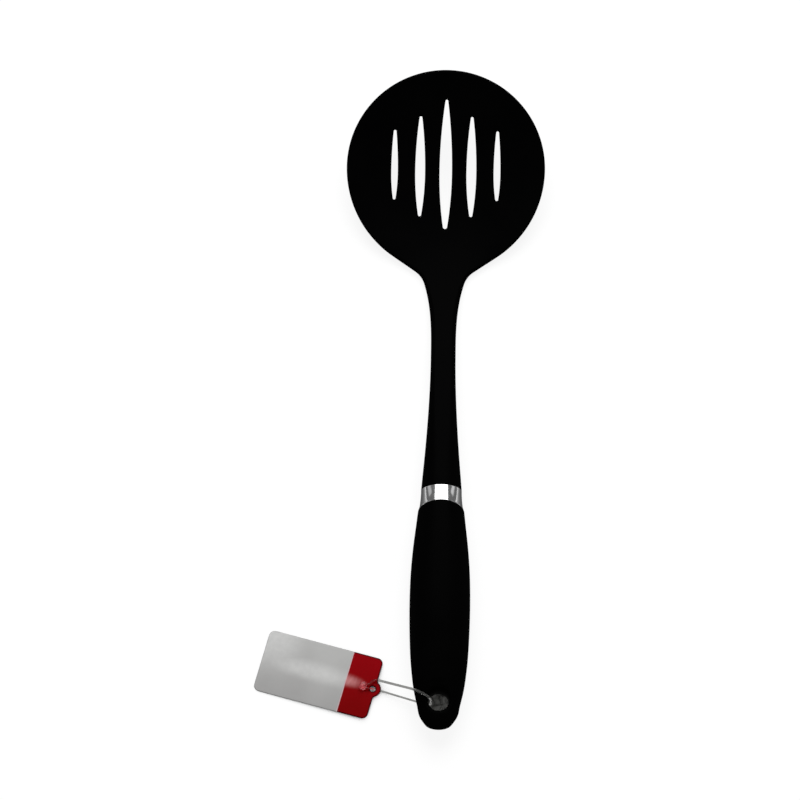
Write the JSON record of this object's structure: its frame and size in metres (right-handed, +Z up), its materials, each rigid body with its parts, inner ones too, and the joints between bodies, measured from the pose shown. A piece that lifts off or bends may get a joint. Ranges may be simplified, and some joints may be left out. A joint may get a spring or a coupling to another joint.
{
  "type": "skimmer",
  "caption": "Black slotted kitchen skimmer: dished round head, waisted shank, steel ferrule, soft oval grip with a hanging hole, swing tag on a loop.",
  "frame": {"origin": "middle of the footprint of the tool without its tag and loop, on the surface it lies on with the dish open upwards", "axes": "+Y along the handle towards the head, +Z up out of the dish, +X to the right seen with the head ahead"},
  "size_m": [0.1454, 0.3502, 0.0341],
  "materials": {
    "nylon_black": "fine satin, moulded",
    "polished_steel": "polished",
    "core_plastic": "as moulded",
    "grip_rubber": "soft satin",
    "tag_card": "laminated, silver grey with a crimson end band",
    "loop_plastic": "translucent grey",
    "lock_plastic": "translucent"
  },
  "bodies": {
    "tool": {"skimmer_head": "nylon_black", "ferrule": "polished_steel", "handle_core": "core_plastic", "grip": "grip_rubber"},
    "loop": {"tag_loop": "loop_plastic", "loop_lock": "lock_plastic"},
    "tag": {"swing_tag": "tag_card"}
  },
  "joints": [
    {"name": "loop_swing", "type": "hinge", "parent": "tool", "child": "loop", "pos_m": [0, -0.16087, 0.01225], "axis": [0, 0, 1], "range_deg": [0, 213]},
    {"name": "tag_turn", "type": "hinge", "parent": "loop", "child": "tag", "pos_m": [-0.03351, -0.15114, 0.00175], "axis": [-0.0246, 0.0066, 0.9997], "range_deg": [-60, 60]}
  ]
}
